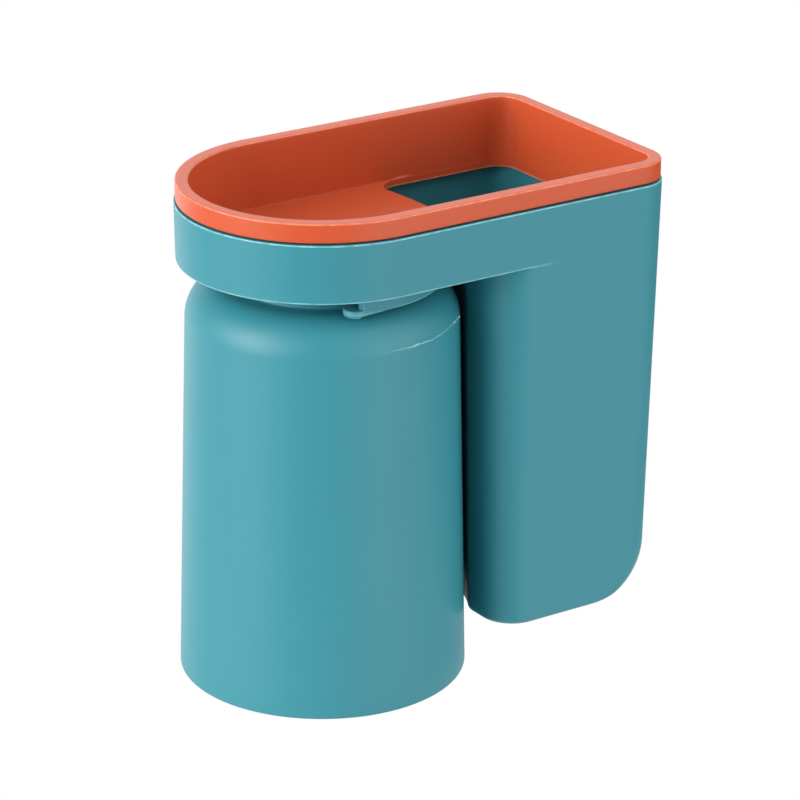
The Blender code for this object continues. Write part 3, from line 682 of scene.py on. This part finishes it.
def flash():
    """The thin broken flash that the mould's split left along part of the cup's shoulder.

    A bead whose size comes and goes: thin all along, thicker by a bell curve round its middle, with
    lumps by a sum of sines near its end, and faded out at both ends. It lies on the shoulder's
    ellipse at a height that drifts by another sum of sines.
    """
    first, last = FLASH_RUN
    angle = np.linspace(math.radians(first), math.radians(last), FLASH_POINTS)
    degrees = np.degrees(angle)
    share = np.linspace(0.0, 1.0, angle.size)
    lumps = waves(angle, FLASH_LUMPS)
    grow, fade = FLASH_FADES
    fade = np.clip(share / grow, 0.0, 1.0) * np.clip((1 - share) / fade, 0.0, 1.0)
    middle = np.exp(-(((degrees - FLASH_MIDDLE[0]) / FLASH_MIDDLE[1]) ** 2))
    end = np.clip((degrees - FLASH_END[0]) / FLASH_END[1], 0.0, 1.0)
    mean, change = FLASH_GAPS
    end = end * np.clip(mean + change * lumps, 0.0, 1.0)
    along, more_middle, more_end = FLASH_SIZES
    size = fade * (along + more_middle * middle + more_end * end)
    change, least, most = FLASH_UNEVEN
    size = FLASH_THIN + size * np.clip(1.0 + change * lumps, least, most)
    start, over, climb = FLASH_RISE
    rise = climb * np.clip((share - start) / over, 0.0, 1.0)
    start, over, drop = FLASH_FALL
    fall = drop * np.clip((share - start) / over, 0.0, 1.0) ** 2
    height = FLASH_Z + rise - fall + FLASH_WANDER * waves(angle, FLASH_DRIFT)
    up = (height - CUP_BASE_Z + SHOULDER_HEIGHT) / SHOULDER_HEIGHT
    radius = SHOULDER_X + SHOULDER_WIDTH * np.sqrt(1 - up**2)
    around = np.linspace(0.0, 2 * math.pi, 8, endpoint=False)
    reach = radius[:, None] + size[:, None] * np.cos(around)
    z = height[:, None] + FLASH_TALL * size[:, None] * np.sin(around)
    across = reach * np.cos(angle)[:, None]
    along_y = CUP_AXIS_Y + reach * np.sin(angle)[:, None]
    return np.stack([across, along_y, z + CUP_SEAT_Z], -1)


def cup(material, flash_material):
    """The cup with the flash round its shoulder."""
    body = piece("cup_finish", [(turned(cup_profile(), CUP_COLUMNS), False)], material)
    line = piece("cup_flash", [(flash(), True)], flash_material)
    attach(line, "cup")
    return body


def rounded_plan(half_x, half_z, corner, centre_z):
    """A rectangle with round corners, drawn in by its inset."""
    def plan(inset):
        x, z, radius = half_x - corner, half_z - corner, corner - inset
        centres = ((x, z), (-x, z), (-x, -z), (x, -z))
        return np.concatenate([
            arc_xy((cx, centre_z + cz), radius, turn * math.pi / 2, (turn + 1) * math.pi / 2, 10)
            for turn, (cx, cz) in enumerate(centres)
        ])
    return plan


def stood_up(plan, near, far, edge):
    """A bar drawn lying flat in the part's frame, stood against the wall: its height becomes -Y."""
    grid = section(rounded_plan(*plan), near, far, edge, 3 if edge else 1)
    return np.stack([grid[..., 0], -grid[..., 2], grid[..., 1]], -1) - np.array(HOLDER_SEAT), True


def wall_plate(material):
    """The plate and its T-shaped tongue, which the holder slides down over."""
    bars = [stood_up(*row) for row in (PLATE, TONGUE_STEM, TONGUE_HEAD)]
    return piece("plate_finish", bars, material)


def pad(material):
    """The adhesive pad between the plate and the wall."""
    return piece("pad_finish", [stood_up(*PAD)], material)


def linear(hex_colour):
    """An sRGB hex colour as linear light."""
    values = [int(hex_colour[i : i + 2], 16) / 255 for i in (1, 3, 5)]
    light = [v / 12.92 if v <= 0.04045 else ((v + 0.055) / 1.055) ** 2.4 for v in values]
    return (*light, 1.0)


def add_node(owner, kind, settings=(), inputs=()):
    """Add a node to a material or world, with its settings.

    The inputs are keyed by the socket's name or number. Each is a value, or another node's output
    that is linked to it.
    """
    node = owner.node_tree.nodes.new(kind)
    for key, value in dict(settings).items():
        setattr(node, key, value)
    for key, value in dict(inputs).items():
        if isinstance(value, bpy.types.NodeSocket):
            owner.node_tree.links.new(value, node.inputs[key])
        else:
            node.inputs[key].default_value = value
    return node


# Patterns on the plastic; each scale is how many there are in a metre
MOTTLE_SCALE = 55.0  # clouds of colour about 18 mm across
SPECK_SCALE = 150.0  # cells 6.7 mm wide, with a dot about a third of a millimetre across in each
SPECK_FADE = (0.034, 0.018)  # the dot's outer and inner radius, in cells
SPECK_STRENGTH = 0.7
HIGHLIGHT_BREAK_SCALE = 420.0  # breaks in the painted highlight lines every 2 to 3 mm
HIGHLIGHT_BREAKS = (0.30, 0.60, 0.35)  # the noise where a painted highlight line is most broken and where whole, and what is left
SATIN_SCALE = 1600.0  # a grain of 0.6 mm; the real one is finer than a pixel, and would not show
SATIN_STRENGTH = 0.05
SATIN_DEPTH = 0.0001
PLASTIC_IOR = 1.43
COLOURS = {"data_type": "RGBA"}


def moulded_plastic(name, base, deep, roughness, edges=(), speck=None):
    """Injection-moulded plastic: an even colour with a faint slow mottle and a fine satin skin.

    Each edge is a thin paler line painted along an edge as a highlight: its lowest and highest Z,
    the Y where it fades out and over what length, in metres, its colour and how strong it is. It
    is strongest in the middle of its height, and noise breaks it up. The specks are small dots,
    one near each cell point of a Voronoi pattern that lies on the surface.
    """
    material = bpy.data.materials.new(name)
    material.use_nodes = True
    shader = material.node_tree.nodes["Principled BSDF"]
    place = add_node(material, "ShaderNodeTexCoord").outputs["Object"]
    mottle = add_node(material, "ShaderNodeTexNoise",
                      inputs={"Vector": place, "Scale": MOTTLE_SCALE, "Detail": 3.0})
    colour = add_node(material, "ShaderNodeMix", COLOURS,
                      {0: mottle.outputs["Fac"], 6: linear(base), 7: linear(deep)})
    if speck:
        cells = add_node(material, "ShaderNodeTexVoronoi",
                         inputs={"Vector": place, "Scale": SPECK_SCALE})
        outer, inner = SPECK_FADE
        dot = add_node(material, "ShaderNodeMapRange",
                       inputs={0: cells.outputs["Distance"], 1: outer, 2: inner, 3: 0.0,
                               4: SPECK_STRENGTH})
        colour = add_node(material, "ShaderNodeMix", COLOURS,
                          {0: dot.outputs[0], 6: colour.outputs[2], 7: linear(speck)})
    if edges:
        axes = add_node(material, "ShaderNodeSeparateXYZ", inputs={"Vector": place}).outputs
        broken = add_node(material, "ShaderNodeTexNoise",
                          inputs={"Vector": place, "Scale": HIGHLIGHT_BREAK_SCALE, "Detail": 4.0})
        most_broken, whole, left = HIGHLIGHT_BREAKS
        highlight_kept = add_node(material, "ShaderNodeMapRange",
                        inputs={0: broken.outputs["Fac"], 1: most_broken, 2: whole, 3: left, 4: 1.0})
    # each line is a painted highlight: a paler colour mixed into the base colour in a band of
    # heights
    for low, high, (fade_y, fade), tint, strength in edges:
        above = add_node(material, "ShaderNodeMath", {"operation": "SUBTRACT"},
                         {0: axes["Z"], 1: (low + high) / 2})
        off = add_node(material, "ShaderNodeMath", {"operation": "ABSOLUTE"}, {0: above.outputs[0]})
        wide, narrow = (high - low) / 2, (high - low) / 4
        band = add_node(material, "ShaderNodeMapRange",
                        inputs={0: off.outputs[0], 1: wide, 2: narrow, 3: 0.0, 4: strength})
        along = add_node(material, "ShaderNodeMapRange",
                         inputs={0: axes["Y"], 1: fade_y, 2: fade_y - fade, 3: 0.0, 4: 1.0})
        line = add_node(material, "ShaderNodeMath", {"operation": "MULTIPLY"},
                        {0: band.outputs[0], 1: along.outputs[0]})
        share = add_node(material, "ShaderNodeMath", {"operation": "MULTIPLY"},
                         {0: line.outputs[0], 1: highlight_kept.outputs[0]})
        colour = add_node(material, "ShaderNodeMix", COLOURS,
                          {0: share.outputs[0], 6: colour.outputs[2], 7: linear(tint)})
    material.node_tree.links.new(colour.outputs[2], shader.inputs["Base Color"])
    satin = add_node(material, "ShaderNodeTexNoise",
                     inputs={"Vector": place, "Scale": SATIN_SCALE, "Detail": 2.0})
    bump = add_node(material, "ShaderNodeBump",
                    inputs={"Height": satin.outputs["Fac"], "Strength": SATIN_STRENGTH,
                            "Distance": SATIN_DEPTH})
    material.node_tree.links.new(bump.outputs["Normal"], shader.inputs["Normal"])
    shader.inputs["Roughness"].default_value = roughness
    shader.inputs["IOR"].default_value = PLASTIC_IOR
    return material


# Thin pale lines painted along edges as highlights, in metres: lowest and highest Z, the Y where
# the line fades out and over what length, colour and strength
NO_FADE = (1.0, 0.1)
RING_PAINTED_HIGHLIGHTS = (
    (0.04100, 0.04145, NO_FADE, "#8fc6cf", 0.8),  # painted highlight on the ring's top edge
    (0.02568, 0.02632, (-0.040, 0.012), "#8cc9cf", 0.8),  # painted highlight on its lower edge, up to the pocket
    (0.02045, 0.02115, (-0.058, 0.012), "#6aa5ad", 0.8),  # painted highlight on the rail's lower edge
    (0.01950, 0.02650, (-0.0955, 0.0004), "#5d9fa9", 0.55),  # painted light on the rail's two ends
)
CUP_PAINTED_HIGHLIGHTS = ((0.02300, 0.02330, NO_FADE, "#6aa5ad", 0.25),)  # a painted highlight round the flange
RIM_PAINTED_HIGHLIGHTS = (
    (0.04655, 0.04698, NO_FADE, "#dc9a7c", 0.6),  # painted highlight on the rim's top edges
    (0.02846, 0.02879, (-0.044, 0.006), "#dc9a7c", 0.6),  # painted highlight on the opening's corners at the floor
    (0.02685, 0.02735, NO_FADE, "#dc9a7c", 0.7),  # painted highlight on the lower edge round the opening
)

# Moulded ABS from a finely blasted mould: an even colour and a soft sheen, without clear
# reflections, that turns paler at a grazing view
TEAL = ("#307f8b", "#2f7d88", 0.45)
SPECK = "#1e535c"
teal = moulded_plastic("moulded ABS, teal", *TEAL, RING_PAINTED_HIGHLIGHTS, SPECK)
cup_teal = moulded_plastic("moulded ABS, teal cup", *TEAL, CUP_PAINTED_HIGHLIGHTS, SPECK)
# Plastic squeezed out thin between the mould's halves, which goes pale and dull
pale = moulded_plastic("moulded ABS, pale flash", "#8cc0c7", "#76abb3", 0.50)
# The same plastic with a pigment that lets a little light in, so that its shades stay warm
orange = moulded_plastic("moulded ABS, orange", "#bf502a", "#bd4c28", 0.38, RIM_PAINTED_HIGHLIGHTS)
orange_shader = orange.node_tree.nodes["Principled BSDF"]
orange_shader.inputs["Subsurface Weight"].default_value = 0.25
orange_shader.inputs["Subsurface Radius"].default_value = (1.0, 0.2, 0.08)
orange_shader.inputs["Subsurface Scale"].default_value = 0.003
# Plain white plate plastic, a little glossier
white = moulded_plastic("moulded ABS, white", "#c4c4c1", "#c0c0bd", 0.40)
# Closed-cell foam with a dull greyish face
foam = moulded_plastic("acrylic foam tape", "#bdbfbf", "#b8baba", 0.55)

for made, body, node in (
    (holder(teal), "holder", "holder_body"),
    (tray(orange), "tray", "storage_tray"),
    (cup(cup_teal, pale), "cup", "cup"),
    (wall_plate(white), "wall_plate", "wall_plate"),
    (pad(foam), "wall_plate", "adhesive_pad"),
):
    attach(made, body)
    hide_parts(node)


def white_to_the_camera(owner, lit):
    """Show a plain white where the camera looks straight at it, and light the object with lit."""
    path = add_node(owner, "ShaderNodeLightPath").outputs["Is Camera Ray"]
    plain = add_node(owner, "ShaderNodeEmission", inputs={"Color": (1.0, 1.0, 1.0, 1.0)})
    mix = add_node(owner, "ShaderNodeMixShader",
                   inputs={0: path, 1: lit.outputs[0], 2: plain.outputs[0]})
    tree = owner.node_tree
    output = next(node for node in tree.nodes if node.bl_idname.startswith("ShaderNodeOutput"))
    tree.links.new(mix.outputs[0], output.inputs["Surface"])


# The floor's half width and its height, in metres
FLOOR_HALF = 1.2
FLOOR_Z = -0.6


def stage_floor():
    """A plain white matt floor well below the hanging object."""
    mesh = bpy.data.meshes.new("floor")
    corners = ((-1, -1), (1, -1), (1, 1), (-1, 1))
    mesh.from_pydata([(x * FLOOR_HALF, y * FLOOR_HALF, FLOOR_Z) for x, y in corners], [],
                     [(0, 1, 2, 3)])
    floor = bpy.data.objects.new("floor", mesh)
    bpy.context.scene.collection.objects.link(floor)
    material = bpy.data.materials.new("matt white board")
    material.use_nodes = True
    shader = material.node_tree.nodes["Principled BSDF"]
    shader.inputs["Base Color"].default_value = linear("#d8d8d8")
    shader.inputs["Roughness"].default_value = 0.9
    white_to_the_camera(material, shader)
    mesh.materials.append(material)


stage_floor()

# Camera, fitted to the photograph's edges: angles, then the distance and the point looked at in
# metres, and the lens and sensor in millimetres
AZIMUTH = math.radians(55.981)
ELEVATION = math.radians(21.635)
ROLL = math.radians(0.402)
DISTANCE = 0.990185
TARGET = Vector((0.000454, -0.064005, -0.019307))
LENS = 168.48
SENSOR = 36.0
CLIP_START = 0.05


def photo_camera():
    """A long lens at the photograph's angle, rolled by a fraction of a degree."""
    right = Vector((math.cos(AZIMUTH), math.sin(AZIMUTH), 0))
    level = math.cos(ELEVATION)
    back = Vector((math.sin(AZIMUTH) * level, -math.cos(AZIMUTH) * level, math.sin(ELEVATION)))
    up = back.cross(right)
    rolled_right = right * math.cos(ROLL) + up * math.sin(ROLL)
    rolled_up = up * math.cos(ROLL) - right * math.sin(ROLL)
    camera = bpy.data.objects.new("camera", bpy.data.cameras.new("camera"))
    camera.data.lens = LENS
    camera.data.sensor_width = SENSOR
    camera.data.clip_start = CLIP_START
    camera.matrix_world = Matrix.Translation(TARGET + back * DISTANCE) @ Matrix(
        (rolled_right, rolled_up, back)).transposed().to_4x4()
    bpy.context.scene.collection.objects.link(camera)
    bpy.context.scene.camera = camera


# The room's soft lights: degrees to the right of the camera, degrees up, narrowness and strength
ROOM_LIGHTS = (
    (-60.0, 15.0, 15.0, 12.80),
    (-140.0, -15.0, 8.0, 1.75),
    (180.0, 25.0, 8.0, 1.45),
    (135.0, 60.0, 6.0, 1.00),
    (80.0, 15.0, 15.0, 1.60),
    (60.0, 0.0, 15.0, 2.05),
    (45.0, 0.0, 15.0, 2.40),
    (60.0, 60.0, 10.0, 2.30),
)


def add_soft_light(world, around, up, narrowness, strength):
    """One soft light in the room round the object, brightest at its middle and fading to all sides.

    The strength times e to the power of the narrowness times the cosine of the angle from the
    middle, less one.
    """
    turn, lift = AZIMUTH + math.radians(around), math.radians(up)
    middle = (math.sin(turn) * math.cos(lift), -math.cos(turn) * math.cos(lift), math.sin(lift))
    towards = add_node(world, "ShaderNodeTexCoord").outputs["Generated"]
    cosine = add_node(world, "ShaderNodeVectorMath", {"operation": "DOT_PRODUCT"},
                      {0: towards, 1: middle})
    power = add_node(world, "ShaderNodeMath", {"operation": "MULTIPLY_ADD"},
                     {0: cosine.outputs["Value"], 1: narrowness, 2: -narrowness})
    share = add_node(world, "ShaderNodeMath", {"operation": "EXPONENT"}, {0: power.outputs[0]})
    light = add_node(world, "ShaderNodeMath", {"operation": "MULTIPLY"},
                     {0: share.outputs[0], 1: strength})
    return light.outputs[0]


def white_room(soft_lights):
    """A white room whose light is the sum of the soft lights."""
    world = bpy.data.worlds.new("white room")
    world.use_nodes = True
    background = world.node_tree.nodes["Background"]
    background.inputs["Color"].default_value = (1.0, 1.0, 1.0, 1.0)
    total = add_soft_light(world, *soft_lights[0])
    for row in soft_lights[1:]:
        added = add_node(world, "ShaderNodeMath", {"operation": "ADD"},
                         {0: total, 1: add_soft_light(world, *row)})
        total = added.outputs[0]
    world.node_tree.links.new(total, background.inputs["Strength"])
    white_to_the_camera(world, background)
    bpy.context.scene.world = world


photo_camera()
white_room(ROOM_LIGHTS)
bpy.context.scene.view_settings.view_transform = "Standard"
